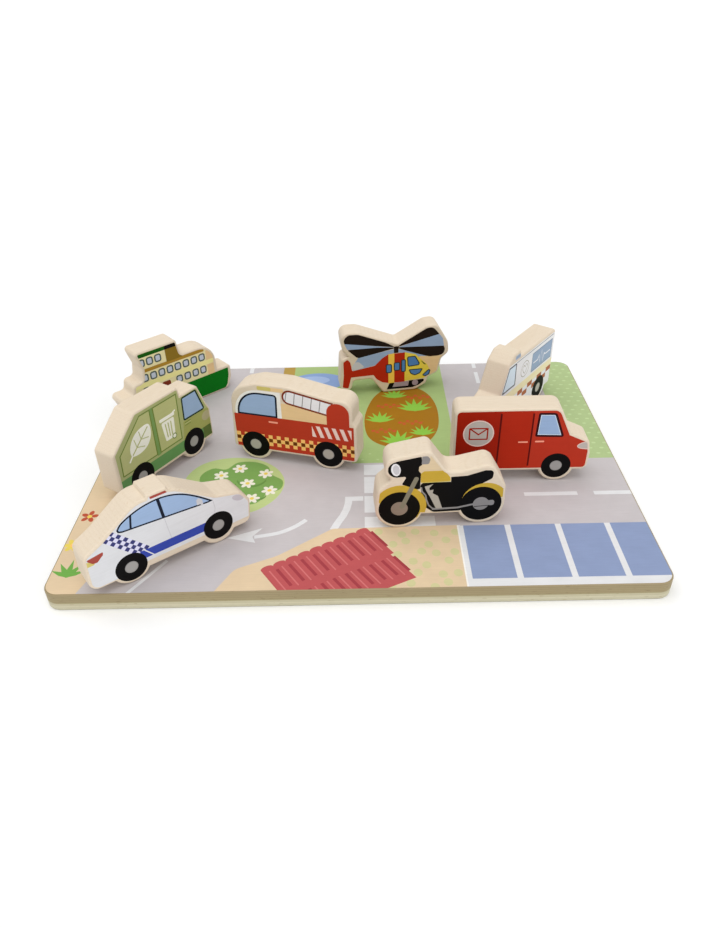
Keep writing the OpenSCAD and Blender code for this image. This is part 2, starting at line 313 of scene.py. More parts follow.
def curve(points, steps=5, closed=True):
    """A smooth line through the points."""
    n = len(points)
    made = []
    for k in range(n if closed else n - 1):
        a, b, c, d = (np.array(points[(k + j) % n if closed else min(max(k + j, 0), n - 1)])
                      for j in (-1, 0, 1, 2))
        for t in np.arange(steps) / steps:
            made.append(tuple(0.5 * (2 * b + (c - a) * t + (2 * a - 5 * b + 4 * c - d) * t ** 2
                                     + (3 * b - a - 3 * c + d) * t ** 3)))
    return made if closed else made + [tuple(points[-1])]


def grown(points, d):
    """A polygon moved outwards by d, or inwards where d is negative."""
    pts = np.array(points if area(points) >= 0 else points[::-1], float)
    edge = np.roll(pts, -1, 0) - pts
    edge /= np.maximum(np.linalg.norm(edge, axis=1), 1e-9)[:, None]
    before = np.roll(edge, 1, 0)
    normal = np.stack([edge[:, 1] + before[:, 1], -edge[:, 0] - before[:, 0]], 1)
    shortest = 0.35     # keeps a sharp corner from shooting out
    reach = np.maximum(1 + (edge * before).sum(1), shortest)
    return [tuple(p) for p in pts + d * normal / reach[:, None]]


def line(points, width, round_ends=False):
    """A stroke of even width along the points."""
    pts = np.array(points, float)
    step = np.diff(pts, axis=0)
    step /= np.linalg.norm(step, axis=1)[:, None]
    before, after = np.vstack([step[:1], step]), np.vstack([step, step[-1:]])
    side = np.stack([-(before + after)[:, 1], (before + after)[:, 0]], 1)
    shortest = 0.4      # keeps a sharp bend from shooting out
    side *= (width / 2) / np.maximum(1 + (before * after).sum(1), shortest)[:, None]
    left, right = [tuple(p) for p in pts + side], [tuple(p) for p in (pts - side)[::-1]]
    if not round_ends:
        return left + right
    tail = math.degrees(math.atan2(step[-1][1], step[-1][0]))
    head = math.degrees(math.atan2(step[0][1], step[0][0]))
    return (left + arc(*pts[-1], width / 2, tail + 80, tail - 80)
            + right + arc(*pts[0], width / 2, head - 100, head - 260))


def within(points, x0, y0, x1, y1):
    """The part of a polygon inside an upright rectangle."""
    for axis, limit, way in ((0, x0, 1), (0, x1, -1), (1, y0, 1), (1, y1, -1)):
        made = []
        for a, b in zip(points, points[1:] + points[:1]):
            ina, inb = way * (a[axis] - limit) >= 0, way * (b[axis] - limit) >= 0
            if ina:
                made.append(a)
            if ina != inb:
                t = (limit - a[axis]) / (b[axis] - a[axis])
                made.append((a[0] + t * (b[0] - a[0]), a[1] + t * (b[1] - a[1])))
        points = made
    return points


class Art:
    """Flat shapes in ink, in millimetres. A later shape covers an earlier one."""

    def __init__(self):
        self.layers = []

    def add(self, ink, *shapes):
        self.layers += [(ink, shape) for shape in shapes if len(shape) > 2]

    def framed(self, frame_ink, ink, shape, width):
        """A shape with a line of even width just inside its outline."""
        self.add(frame_ink, shape)
        self.add(ink, grown(shape, -width))

    def wheel(self, x, y, tyre, hub, metal="hub"):
        """A wheel from the radii of its tyre and its hub."""
        self.add("black", disc(x, y, tyre))
        self.add("hub_edge", disc(x, y, hub))
        self.add(metal, disc(x, y, hub - 0.4))

    def checks(self, x, y, wide, high, rows, columns, degrees=0.0):
        """Checks in rows from the top; a letter of a row names the ink, a dot leaves none."""
        names = {"y": "amber", "s": "soot", "w": "lavender", "n": "check_navy", "r": "rust"}
        for j, row in enumerate(rows):
            for i in range(columns):
                letter = row[i % len(row)]
                if letter in names:
                    left, top = x + i * wide, y - j * high
                    cell = [(left, top - high), (left + wide, top - high), (left + wide, top),
                            (left, top)]
                    self.add(names[letter], turned(cell, degrees, (x, y)))


# The eight vehicles; x and y run from each one's own zero, which VEHICLES places

def fire_engine(a):
    a.add("milk", curve([(-12.8, 29), (-12.4, 34), (-10.7, 38.6), (-7.4, 42.6), (-2.6, 45.2),
                         (2.4, 46.0)], 4, False) + [(15.4, 46.0), (15.4, 29)])
    # Painted shade: tan stands for the front face's bare wood in shade below the ladder
    a.add("tan", [(15.4, 29), (15.4, 39.4), (20, 39.4), (42.4, 35.2), (42.4, 29)])
    a.add("brick", arc(20.9, 43.7, 4.6, 79, 259) + [(42.6, 34.9), (46, 43.6)])
    a.add("white", arc(20.9, 43.7, 3.5, 79, 259) + [(42.6, 36.0), (46, 42.5)])
    for k in range(5):
        x, y, reach = 18.7 + 4.87 * k, 44.1 - 0.925 * k, 3.5 if k else 2.7
        a.add("grey", line([(x + 0.5, y + reach), (x - 0.5, y - reach)], 0.5))
    a.add("engine_red", soft([(41.9, 28), (41.9, 43.5, 6), (54.9, 43.5, 6.4), (54.9, 28)], 0),
          box(-13.8, 7.3, 57.3, 29.5, 0.5))
    for k in range(6):
        x = 30.6 + 4.63 * k
        stripe = [(x, 27.5), (x + 2.3, 27.5), (x + 4.9, 20.3), (x + 2.6, 20.3)]
        a.add("blush", within(stripe, 32.9, 20.3, 56.0, 27.5))
    a.add("pink", box(7.0, 25.7, 12.6, 26.8, 0.4))
    a.checks(-13.7, 17.2, 2.465, 2.465, ["y.", "sy", "y."], 29)
    window = (curve([(-11.4, 29.4), (-11.1, 33), (-9.9, 36.8), (-7.6, 40.3), (-4.3, 42.9),
                     (-0.5, 44.2), (3, 44.5)], 4, False)
              + corner((3, 44.5), (13.4, 44.4), (12.7, 29.4), 2.3) + [(12.7, 29.4)])
    a.framed("navy", "glass", window, 1.1)
    # Painted shade: tan beside the amber bar stands for the front face's bare wood in shade
    a.add("tan", box(9.0, 46.4, 17.6, 48.6, 0.7))
    a.add("old_gold", box(2.0, 46.4, 10.2, 48.7, 0.7))
    a.wheel(-2.5, 9.75, 8.5, 3.4, "silver")
    a.wheel(41.9, 9.65, 8.5, 3.4, "silver")


def police_car(a):
    a.add("car_white", [(-20, 5.3), (0, 5.3), (0, 7.8), (55, 7.8), (55, 7.3), (75, 7.3), (75, 60),
                        (-20, 60)])
    outer = curve([(2.6, 31.9), (4.4, 34.3), (7.2, 36.1), (10.8, 37.7), (15, 39.1), (20, 40.0),
                   (25, 40.2), (30, 39.5), (35, 37.8), (40, 34.9), (45, 31.1), (50.7, 26.1)],
                  3, False) + [(48, 25.9), (5.0, 29.7), (3.1, 30.4)]
    a.framed("navy", "glass", outer, 0.85)
    a.add("navy", line([(10.4, 37.3), (9.1, 29.8)], 1.0), line([(24.1, 39.8), (25.2, 28.2)], 1.5))
    a.add("lamp_red", box(20.8, 41.3, 29.5, 43.1, 0.5))
    a.add("pale_grey", soft([(42.2, 27.0), (44.2, 27.0), (44.3, 25.7), (45.5, 25.7), (45.3, 29.0),
                             (43.6, 30.9), (42.3, 30.2)], 0.5))
    a.add("old_gold", soft([(-14.2, 22.0), (-12.4, 21.4), (-9.4, 19.0), (-14.2, 18.8)], 0.5))
    a.add("lamp_red", soft([(-13.6, 22.8), (-5.3, 24.0), (-5.8, 22.2), (-9.0, 19.5), (-11.0, 19.7),
                            (-12.8, 21.6)], 0.5))
    a.add("lamp_grey", disc(63.9, 21.3, 3.4, 1.7, -28))
    a.checks(0.1, 33.0, 2.1, 2.1, ["nw", "wn", "nw"], 11, -47.8)
    a.add("police_blue", [(10.5, 14.9), (46, 14.9), (46, 10.0), (12, 10.0)])
    a.add("car_white", line([(12.2, 15.7), (17.0, 9.6)], 0.6))
    a.add("pale_grey", line([(25.4, 28.0), (25.9, 22), (26.8, 15)], 0.35),
          line([(50.6, 25.8), (51.1, 21), (50.2, 18)], 0.35))
    a.wheel(5.1, 8.5, 7.9, 3.25)
    a.wheel(51.3, 10.0, 8.05, 3.2)


def motorcycle(a):
    # Painted shade: this patch stands for the front face's bare wood in shade between handlebar
    # and tank
    a.add("wheat", soft([(9, 34), (9, 38), (13.5, 39), (15.5, 43.6), (18, 42.6), (26, 29)], 0.4))
    a.add("black", soft([(10.4, 27.6), (26, 27.2, 0), (26, 30.2, 0), (34, 30.4), (43.0, 33.1),
                         (47.4, 32.8, 2.3), (46.9, 28.0, 2.2), (41, 24.6, 2), (40, 21),
                         (31.6, 8.6, 1.5), (17.6, 8.6, 3), (13.6, 12), (11.6, 19)], 2))
    a.add("moto_yellow", crescent(42, 12.3, (1.8, 0.9, 12.1), (0, 0, 10.6), 164, 18))
    a.add("black", disc(42, 12.3, 10.7))
    a.add("grey", disc(42, 12.3, 4.1))
    a.add("moto_yellow", crescent(0.3, 12, (0.2, 1.1, 13.6), (0, 0, 10.6), 158, -36))
    a.add("black", disc(0.3, 12, 10.6))
    a.add("hub_warm", disc(0.3, 12, 4.3))
    a.add("grey", line([(17, 10.5), (30, 10.6), (38, 12.2)], 1.1),
          soft([(40, 10.9), (48.9, 10.9, 1.3), (48.9, 14.3, 1.3), (40, 14.0)], 0.5))
    a.add("black", line([(38.5, 10.6), (46.5, 10.9)], 0.4))
    a.add("grey", line([(11.2, 24.8), (11.6, 22.2), (13.5, 19.6), (13.9, 17), (15.2, 13.2),
                        (17.2, 11), (20, 10.5)], 0.8))
    a.add("silver", [(12.9, 25.2), (17.2, 26.4), (15.3, 24.2), (15.4, 22.6), (17.4, 23.0),
                     (17.0, 20.7), (19.8, 18.8), (22.2, 10.9), (19.0, 10.9), (15.7, 18.6),
                     (13.6, 22.8)])
    a.add("black", soft([(-4.2, 40.6, 3), (10.9, 43.4, 0.6), (11.3, 38.6), (9.8, 37.4),
                         (9.7, 35.0), (10.8, 33.4), (10.6, 24), (9.4, 23.6), (1.4, 27.2),
                         (4.0, 32.0, 0.8), (-1.5, 31.6)], 0.6))
    a.add("black", disc(-0.9, 36.3, 4.6))
    a.add("white", disc(-1.6, 36.3, 2.35, 3.75, 8))
    a.add("pale_grey", turned(disc(-1.4, 36.3, 1.6, 2.9), 8, (-1.4, 36.3)))
    a.add("grey", soft([(11.0, 38.8), (11.2, 43.4), (14.0, 43.5, 1.4), (15.3, 41.6, 1.2),
                        (14.6, 38.8, 1)], 0.4))
    a.add("fork", line([(8.6, 30.2), (1.6, 13)], 2.4, True))
    a.add("old_gold", box(10.9, 27.45, 25.8, 29, 0.6))
    a.add("moto_yellow", soft([(10.8, 27.8, 0.8), (25.7, 27.8, 0.6), (25.6, 30.0, 1),
                               (22.4, 34.4, 1.5), (12.4, 34.6, 1), (10.8, 33.2, 0.8)], 1))


def helicopter(a):
    a.add("sky", [(-29, 37.9), (3, 32.4), (-27.2, 33.6)],
          [(-20.2, 27.2), (4, 31.2), (4, 28.2), (-0.4, 27.8), (-9.3, 20.6), (-24, 18), (-24, 21)],
          [(7, 32.4), (33.2, 39.6), (36, 36), (36.9, 30.6), (8, 31.8)],
          [(6.4, 31), (27, 24.4), (20, 23.5), (11, 27.6), (6.4, 28.6)])
    a.add("pale_grey", curve([(-24, 18.5), (-23.5, 22.5), (-20.5, 24.2), (-17.8, 22),
                              (-16.8, 19.8)]))
    a.add("tan", soft([(20, 24.5), (36, 23.6), (34.8, 17.5), (33, 12), (28, 9), (24, 9)], 0.5))
    a.add("blade", curve([(4.5, 32.4), (0, 35.2), (-6, 38.4), (-13, 41.9), (-19, 43.8),
                          (-24.5, 44.0), (-28, 42.2), (-29.2, 39.8), (-28.9, 37.8)], 3, False))
    a.add("blade", soft([(3.5, 31.6), (-19.6, 27.0), (-21.2, 27.5), (-27.2, 33.4), (-8, 33.3),
                         (3, 32.4)], 0.4))
    a.add("blade", curve([(5.5, 32.4), (10, 35.6), (16, 39.6), (21.5, 42.6), (26.5, 44.2),
                          (29.5, 43.8), (31.8, 41.4), (33.5, 39.2)], 3, False))
    a.add("blade", curve([(36.8, 30.5), (37.6, 28.2), (36.8, 25.4), (34, 23.9), (30, 23.7),
                          (26.6, 23.9), (20, 26.2), (13, 28.8), (6, 31.6)], 3, False)
          + [(6, 32.3)])
    a.add("heli_red", soft([(-31.0, 6.2, 0.8), (-27.2, 5.3, 0.8), (-25.2, 13.2), (-10.2, 13.6),
                            (-8.2, 10.4, 3), (-4.2, 7.5, 2), (-0.2, 6.6, 0), (11, 6.4, 0),
                            (11, 28.2, 0), (-0.2, 27.8, 0), (-4.5, 25.2, 3), (-9.3, 20.3, 1),
                            (-24.4, 17.8), (-25.4, 24.2, 1.5), (-27.2, 26.6, 1), (-30, 24.6, 1),
                            (-30, 15, 2)], 0.6))
    a.add("heli_yellow", [(-0.2, 6.0), (3.8, 6.2), (3.8, 28.3), (-0.2, 27.8)])
    a.add("nose_yellow", soft([(10.8, 7, 0), (24.2, 8.0, 1.5), (27.8, 14.0), (26.0, 18.0),
                               (21.2, 22.8), (18.0, 26.2, 2), (12.4, 27.8), (10.8, 28.4, 0)], 1))
    for window in (box(-2.0, 13.9, 2.3, 20.6, 1.4), box(3.4, 15.2, 7.8, 21.5, 1.2),
                   box(8.3, 13.8, 11.6, 23.2, 1.2),
                   soft([(12.8, 17.2), (21.8, 18.0), (18.0, 25.0), (12.2, 25.0)], 1.4),
                   soft([(13.4, 15.4, 0.6), (23.4, 15.4, 0.6), (21.4, 11.8), (17.8, 10.4),
                         (14.8, 12.0)], 2),
                   soft([(22.3, 10.1), (27.3, 14.6), (28.5, 13.4), (27.6, 10.4), (25, 9)], 0.9)):
        a.framed("pine", "heli_glass", window, 0.7)
    a.add("pine", soft([(20.6, 22.6), (23.6, 18.6), (26.2, 17.2)], 0.3))
    a.add("blade", box(3.5, 28.3, 6.5, 32), disc(5, 32, 1.8, 1.1))
    a.add("black", soft([(-1.3, 1.7), (16.4, 1.7), (20.6, 3.2), (24.2, 5.8, 1), (24.0, 7.4, 1),
                         (13.8, 7.0), (13.4, 3.2), (2.6, 3.1), (4.0, 6.4), (0.6, 6.3)], 0.3))
    a.add("mauve_grey", [(2.6, 3.1), (13.4, 3.3), (13.5, 6.7), (4.1, 6.3)], disc(18.1, 5.1, 2.1))


def recycling_truck(a):
    a.add("leaf_pale", box(-12.4, 6.9, 62, 50))
    a.add("leaf_post", [(14.6, 15), (17.2, 15), (17.4, 45), (15.2, 45)])
    # Painted shade: the cab below the window takes a darker, browner green than the panels
    a.add("leaf_cab", soft([(35.2, 13), (59, 13), (59, 24), (55.6, 25.2), (37, 25.4)], 0.5))
    a.add("haze", disc(54.8, 20.6, 3.4, 3.0))
    a.add("leaf_band", box(-12.4, 6.9, 52, 13.9))
    a.add("leaf_dark", box(51, 6.6, 62, 13.9))
    rear = soft([(-10.7, 15.6), (14.9, 15.6), (15.4, 44.9), (7.6, 44.9), (-10, 28.6)], 0.6)
    front = soft([(16.9, 15.6), (34.3, 15.6), (35.4, 44.9), (17.1, 44.9)], 0.4)
    for panel in (rear, front):
        a.framed("leaf_line", "leaf", panel, 0.75)
    a.framed("pine", "glass", soft([(37.3, 25.6), (54.9, 25.2), (50.0, 40.5), (38.1, 40.5)], 1.4),
             1.05)
    a.add("leaf_line", box(37.8, 23.9, 42.8, 24.4), box(37.8, 22.2, 42.6, 22.7))
    a.add("leaf", box(37.8, 23.2, 42.8, 23.7))
    a.add("chalk", curve([(-1.9, 24.2), (-2.2, 29.6), (1.5, 35.0), (6.9, 37.5), (12.7, 37.2),
                          (13.2, 31.0), (9.9, 25.6), (4.3, 23.3)]),
          line([(-4.2, 21.8), (-0.8, 25.5)], 1.0, True))
    a.add("leaf", line([(-1.5, 24.6), (11.8, 36.1)], 0.8),
          line([(2.3, 27.8), (1.3, 33.2)], 0.55), line([(6.0, 31.0), (5.5, 36.1)], 0.55),
          line([(2.3, 27.8), (7.6, 25.8)], 0.55), line([(6.0, 31.0), (11.3, 29.8)], 0.55))
    a.add("chalk", soft([(21.2, 32.5), (30.8, 32.5), (29.7, 20.2), (22.5, 20.2)], 1.0),
          box(20.2, 33.2, 31.6, 35.2, 0.8), line([(29.7, 34.7), (32.2, 35.7)], 1.0, True))
    for x in (23.9, 26.0, 28.1):
        a.add("leaf", line([(x, 30.6), (26 + (x - 26) * 0.8, 22.4)], 0.8, True))
    a.framed("leaf_line", "chalk", disc(29.0, 20.6, 1.8), 0.6)
    a.wheel(1.9, 9.0, 8.25, 3.2)
    a.wheel(42.5, 9.25, 8.3, 3.3)


def red_van(a):
    nose = [(59.6, 8.5, 2), (59.7, 20, 3), (58.6, 25.9, 0.6), (49.4, 30.0, 1), (42.6, 45.2, 3)]
    a.add("van_red", soft([(10, 8.3)] + nose + [(10, 45)], 0))
    a.add("van_dark", soft([(-12.4, 8.3), (10.9, 8.3), (10.9, 45), (-12.4, 44.8, 2.4)], 0))
    a.add("van_light", soft([(28, 8.4)] + nose + [(28, 45.1)], 0))
    a.add("seam", line([(11.0, 43.6), (10.8, 10)], 0.95), line([(28.0, 43.6), (28.0, 9.9)], 0.9))
    window = soft([(30.0, 28.9), (45.8, 28.4), (40.1, 43.6, 2), (30.6, 43.8)], 1.1)
    a.framed("maroon", "pale_glass", window, 1.25)
    a.add("glass", grown(window, -1.6))
    a.add("pink", box(21.3, 25.1, 26.6, 26.0, 0.4), box(30.4, 25.3, 35.3, 26.3, 0.4))
    a.framed("blush", "emblem_grey", curve([(62, 25.2), (58.5, 25.3), (56.2, 24.8), (54.2, 23.6),
                                            (53.5, 22.4), (54.5, 21.2), (57, 20.5), (62, 20.5)]),
             0.4)
    a.framed("blush", "emblem_grey", disc(-0.4, 31.4, 8.3), 0.6)
    a.add("van_dark", box(-5.6, 27.4, 4.8, 35.0, 0.6))
    a.add("emblem_grey", box(-4.8, 28.2, 4.0, 34.2, 0.3))
    a.add("van_dark", line([(-5.2, 34.6), (-0.4, 30.8), (4.4, 34.6)], 0.8))
    a.wheel(-0.4, 9.6, 8.3, 3.3)
    a.wheel(43.6, 9.75, 8.1, 3.3)


def ambulance(a):
    a.add("white", soft([(-66, 3), (-66, 21.8), (-59.6, 23.4, 2), (-53.2, 27.2), (-46.2, 43.0, 1),
                         (15, 43.0), (15, 3)], 1))
    a.add("cream", [(-66, 19.6), (15, 19.6), (15, 25.0), (-66, 25.0)])
    a.add("grey", box(-35.8, 41.7, 14, 42.2))
    a.checks(-69.75, 20.1, 6.5, 3.3, ["r.", ".r"], 14)
    a.framed("slate", "pale_glass", soft([(-52.0, 26.9), (-35.4, 26.8), (-35.8, 42.0),
                                          (-45.0, 42.0)], 0.8), 1.0)
    a.framed("cord_blue", "steel", box(-14.7, 26.2, 12.8, 39.3, 0.6), 0.5)
    a.add("white", line([(-12.4, 32), (-6.4, 32), (-5.0, 34.6), (-3.4, 29.0), (-1.6, 36.8),
                         (0.6, 28.4), (2.2, 33.2), (3.4, 32), (10.8, 32)], 0.8))
    a.framed("silver", "white", disc(-23.8, 33, 5.4), 0.5)
    a.framed("silver", "white", curve([(-23.8, 29.6), (-26.9, 33.2), (-26.4, 35.6), (-24.8, 35.8),
                                       (-23.8, 34.6), (-22.8, 35.8), (-21.2, 35.6),
                                       (-20.7, 33.2)]), 0.5)
    a.framed("pale_grey", "steel", soft([(-38.6, 44.3), (-30.6, 44.3), (-31.2, 47.2),
                                         (-38.0, 47.2)], 0.8), 0.4)
    a.add("amber", box(-66, 20.8, -59.4, 23.6, 1.0))
    a.wheel(-1.3, 9.9, 8.1, 3.2, "hub_pale")
    a.wheel(-47.3, 9.9, 8.1, 3.2, "hub_pale")


def ferry(a):
    a.add("deck", soft([(-60, 14, 0), (-60, 26.2, 0), (-41, 26.2, 0), (-42, 46, 0), (-22, 46, 0),
                        (-22, 35), (4.4, 35), (9.6, 28.6, 5), (9.6, 14)], 0.6))
    # Painted shade: tan right of the deck stands for the front face's bare wood in shade
    a.add("tan", soft([(4.6, 26, 0), (9.6, 26, 0), (9.6, 28.6), (4.8, 34.6)], 1),
          box(4.6, 15, 9.6, 22.6))
    a.add("deck_yellow", box(-60, 23.0, 9.6, 26.0, 0.5))
    a.add("gold", box(-39.4, 32.7, 3.7, 35.0, 0.4))
    a.add("funnel", soft([(-23.1, 34.5, 0), (-23.1, 44), (-14.8, 44), (-14.0, 37.2, 1.5),
                          (-11.6, 34.9), (-12, 34.5)], 0.3))
    a.add("hull_dark", box(-45, 43.0, -22.9, 45.5))
    a.add("black", box(-23.2, 43.0, -15.1, 45.5, 0.3))
    for y, places in ((20.1, (1.4, -4.4, -10.4, -16.4, -34.0, -39.8)),
                      (29.0, (1.5, -4.3, -10.2, -16.1, -21.8, -27.6, -33.4, -39.2)),
                      (39.3, (-28.5, -34.2, -39.9))):
        for x in places:
            a.framed("port_line", "port", box(x - 2.4, y - 2.7, x + 2.4, y + 2.7, 1.7), 0.95)
    a.add("brick", box(-28.8, 16.8, -22.8, 22.0, 1.2))
    a.add("hull", soft([(-60, 20.0), (-47, 16.2), (-30, 15.1), (19.8, 15.1, 0.5), (19.6, 9.6, 4),
                        (18.0, 3.6, 3), (15.8, 0.7, 1.5), (-60, 0.7)], 4))
    a.add("chalk", disc(-50.4, 12.6, 1.5), disc(-46.6, 11.4, 0.9))


# Each block's node and print, its angle in degrees, and where its zero is: so many
# millimetres from its left end and above the board
VEHICLES = [
    ("ferry", ferry, 41.5, 57.5, 0.2), ("recycling_truck", recycling_truck, 57.0, 14.1, 1.1),
    ("police_car", police_car, 37.0, 15.3, 1.0), ("fire_engine", fire_engine, -16.0, 16.1, 0.75),
    ("helicopter", helicopter, 8.5, 32.4, 0.45), ("ambulance", ambulance, 52.0, 63.3, 0.0),
    ("red_van", red_van, -0.5, 13.6, 0.3), ("motorcycle", motorcycle, 3.5, 12.0, 0.5),
]


# The play scene on the board's top, in millimetres from its centre

def flower(a, petal_ink, middle_ink, x, y, r, petals, turn):
    """Round petals about a middle, seen flat."""
    for k in range(petals):
        way = math.radians(turn + 360 * k / petals)
        a.add(petal_ink, disc(x + r * 0.6 * math.cos(way), y + r * 0.6 * math.sin(way),
                              r * 0.42, r * 0.27, math.degrees(way)))
    a.add(middle_ink, disc(x, y, r * 0.27))


def tuft(a, ink_name, x, y, size, blades, lean):
    """Pointed blades of grass that fan out from one foot."""
    for k in range(blades):
        degrees = lean * (1 - 2 * k / (blades - 1))
        tall = (13.2 - abs(degrees) * 0.035) * size
        foot, half, belly = 0.9 * size, 1.5 * size, y + tall * 0.42
        blade = [(x + foot, y - 0.8), (x + half, belly), (x, y + tall), (x - half, belly),
                 (x - foot, y - 0.8)]
        a.add(ink_name, turned(blade, degrees, (x, y)))


def lawn(a):
    a.add("lawn", [(-3, -9.5), (59, -9.5), (59, 120), (-44, 120), (-44, 76), (-12, 22), (-3, 8)])
    a.add("trunk", box(-52, 76, -44, 120))
    a.add("pond", disc(-27, 90, 19, 12))
    a.add("pond_light", disc(-30, 92, 11, 5.6))


def flower_bed(a):
    """Soil with tufts of grass and twigs of berries."""
    a.add("soil", curve([(29, 6.5), (42, 11), (49.6, 24), (52, 41), (51, 58), (46, 72), (36, 81),
                         (23, 80), (13, 70), (7, 54), (4.6, 36), (7, 18), (16, 8.4)]))
    for x, y, size in ((37.5, 49, 1.15), (14.5, 36, 0.95), (25, 10.5, 1.15), (40.5, 20, 0.85),
                       (25, 66, 0.9)):
        tuft(a, "sprout", x, y, size, 7, 72)
    for x, y in ((34, 33), (21, 54), (41, 65), (17, 24)):
        twig = [(x - 8, y), (x - 3, y + 1.6), (x + 3, y + 0.6), (x + 8, y + 1.8)]
        a.add("berry", line(twig, 0.6))
        for dx, dy in ((-7, 1.4), (-4.4, -0.6), (-2, 3.0), (0.8, -0.6), (3.2, 2.6), (6, 0.2)):
            a.add("berry", disc(x + dx, y + dy, 1.25, 1.0))


def lawn_dots(a):
    """Dots in rows, none on the soil or by the pond."""
    for j, y in enumerate(np.arange(-6, 112, 6.0)):
        shift = 4.5 if j % 2 else 0.0
        left_side = max(-42, min(-1, 4 - 0.6 * y))
        for x in np.arange(48, -44, -9.0):
            on_soil = 2 < x - shift < 55 and 3 < y < 84
            by_pond = x < -4 and y > 76
            if x - shift >= left_side and not on_soil and not by_pond:
                a.add("lawn_dot", disc(x - shift, y, 0.9, 0.6))


def verge(a):
    a.add("verge", box(125, -9, 160, 120))
    for j, y in enumerate(np.arange(-4, 113, 5.5)):
        for x in np.arange(129 + (3.2 if j % 2 else 0), 151, 6.4):
            a.add("verge_dot", disc(x, y, 1.3, 0.8))


def road_marks(a):
    """Lane marks, a crossing, a kerb line and an arrow."""
    for y0 in (-4, 25, 54, 83, 105):
        a.add("paint", box(82, y0, 84.6, min(y0 + 16, 113)))
    a.add("paint", box(-76.4, 104.5, -73.6, 116), box(-76.4, 76, -73.6, 94))
    for x0 in (91, 129):
        a.add("paint", box(x0, -43.6, x0 + 29, -40.4))
    for top, bottom in ((-11.3, -21.3), (-23.3, -38.3), (-40.9, -55.3), (-58.9, -68.5)):
        a.add("paint", box(3.8, bottom, 40.6, top))
    a.add("paint", line([(3.2, -43), (-4.8, -43.1), (-4.9, -47), (-5.8, -52), (-7.6, -57.5),
                         (-10.2, -63), (-12.6, -69)], 3.9))
    shaft = curve([(-27, -60.4), (-33, -66), (-41, -70.6), (-53, -73.4)], 5, False)
    a.add("paint", line(shaft, 2.6), [(-49.4, -66.4), (-67, -73.8), (-52, -77.8), (-54, -73)])
    a.add("paint", line([(-94.2, -89.8), (-110.4, -114.8)], 1.8))


def front_lot(a):
    a.add("lot", soft([(-72, -120), (-60, -97, 8), (-40, -88, 12), (-13, -68, 4), (52, -67, 0),
                       (52, -120)], 0))
    for j, y in enumerate(np.arange(-72.5, -113, -7.5)):
        for x in np.arange(12 + (4.6 if j % 2 else 0), 50, 9.2):
            aside = x + 1.5 * math.sin(2.3 * x + y)
            a.add("lot_dot", disc(aside, y + 1.6 * math.cos(x), 2.2, 2.5))


def roof_tiles(a):
    """Two courses of round tiles, one below the other, on a leaning roof."""
    tiles = 9
    for (x0, y0, x1, y1), (dx, dy) in (((-37, -114, 16, -88), (12, -17)),
                                       ((-47, -98.5, 5, -68.5), (13, -19))):
        a.add("tile", [(x0, y0), (x1, y1), (x1 + dx, y1 + dy), (x0 + dx, y0 + dy)])
        lean = math.degrees(math.atan2(y1 - y0, x1 - x0))
        for k in range(tiles):
            along = (k + 0.5) / tiles
            x, y = x0 + (x1 - x0) * along, y0 + (y1 - y0) * along
            a.add("tile", disc(x, y, 3.3, 1.7, lean))
            a.add("tile_dark", line([(x + 3.3 + dx * 0.12, y + 1.6 + dy * 0.12),
                                     (x + 3.3 + dx * 0.72, y + 1.6 + dy * 0.72)], 1.6))
            a.add("tile_light", line([(x + dx * 0.1, y + dy * 0.1), (x + dx * 0.8, y + dy * 0.8)],
                                     0.7))


def parking_bays(a):
    a.add("milk", box(51.4, -120, 53, -67.2))
    a.add("bay", box(53.4, -120, 160, -67.5))
    for x in (77, 103, 128.4):
        a.add("paint", box(x - 1.1, -120, x + 1.9, -67.5))
    a.add("paint", box(52.6, -120, 160, -106.6), box(52.2, -120, 54.6, -67.5))


def bush(a):
    a.add("bush_light", curve([(-98, -22), (-93, -10), (-84, -3.6), (-71, -1.4), (-57, -4.6),
                               (-46, -14), (-41, -27), (-44.5, -41), (-55, -52), (-68, -54),
                               (-84, -48), (-95, -38)]))
    a.add("bush", curve([(-90, -20), (-84, -12), (-76, -13), (-70, -6.4), (-60, -6.2),
                         (-52, -11), (-49, -19), (-42.4, -25), (-43, -33), (-50, -37),
                         (-55, -45), (-66, -47), (-76, -41), (-86, -34)]))
    for x, y, r in ((-60, -22, 9), (-74, -26, 6), (-55, -38, 5)):
        a.add("bush_dark", crescent(x, y, (0, 0, r), (0, 1.4, r * 0.95), 200, 340))
    for k, (x, y) in enumerate(((-68, -12.6), (-52.6, -18), (-62, -27), (-49, -34), (-78, -19),
                                (-58, -41), (-73, -34))):
        flower(a, "petal", "pollen", x, y, 4.4, 6, 25 * k)


def left_corner(a):
    a.add("lot", soft([(-160, -120), (-136, -120), (-128, -97, 8), (-122, -66, 20),
                       (-121, -28, 14), (-132, -8, 10), (-160, -6)], 4))
    tuft(a, "hedge", -141, -99.6, 0.9, 5, 66)
    flower(a, "rescue_red", "pollen", -143.4, -54, 4.8, 5, 10)
    flower(a, "pollen", "amber", -145.2, -77, 4.8, 6, 0)


def play_scene(a):
    a.add("road", box(-160, -120, 160, 120))
    for draw in (lawn, flower_bed, lawn_dots, verge, road_marks, front_lot, roof_tiles,
                 parking_bays, bush, left_corner):
        draw(a)


# From flat shapes to thin solid layers

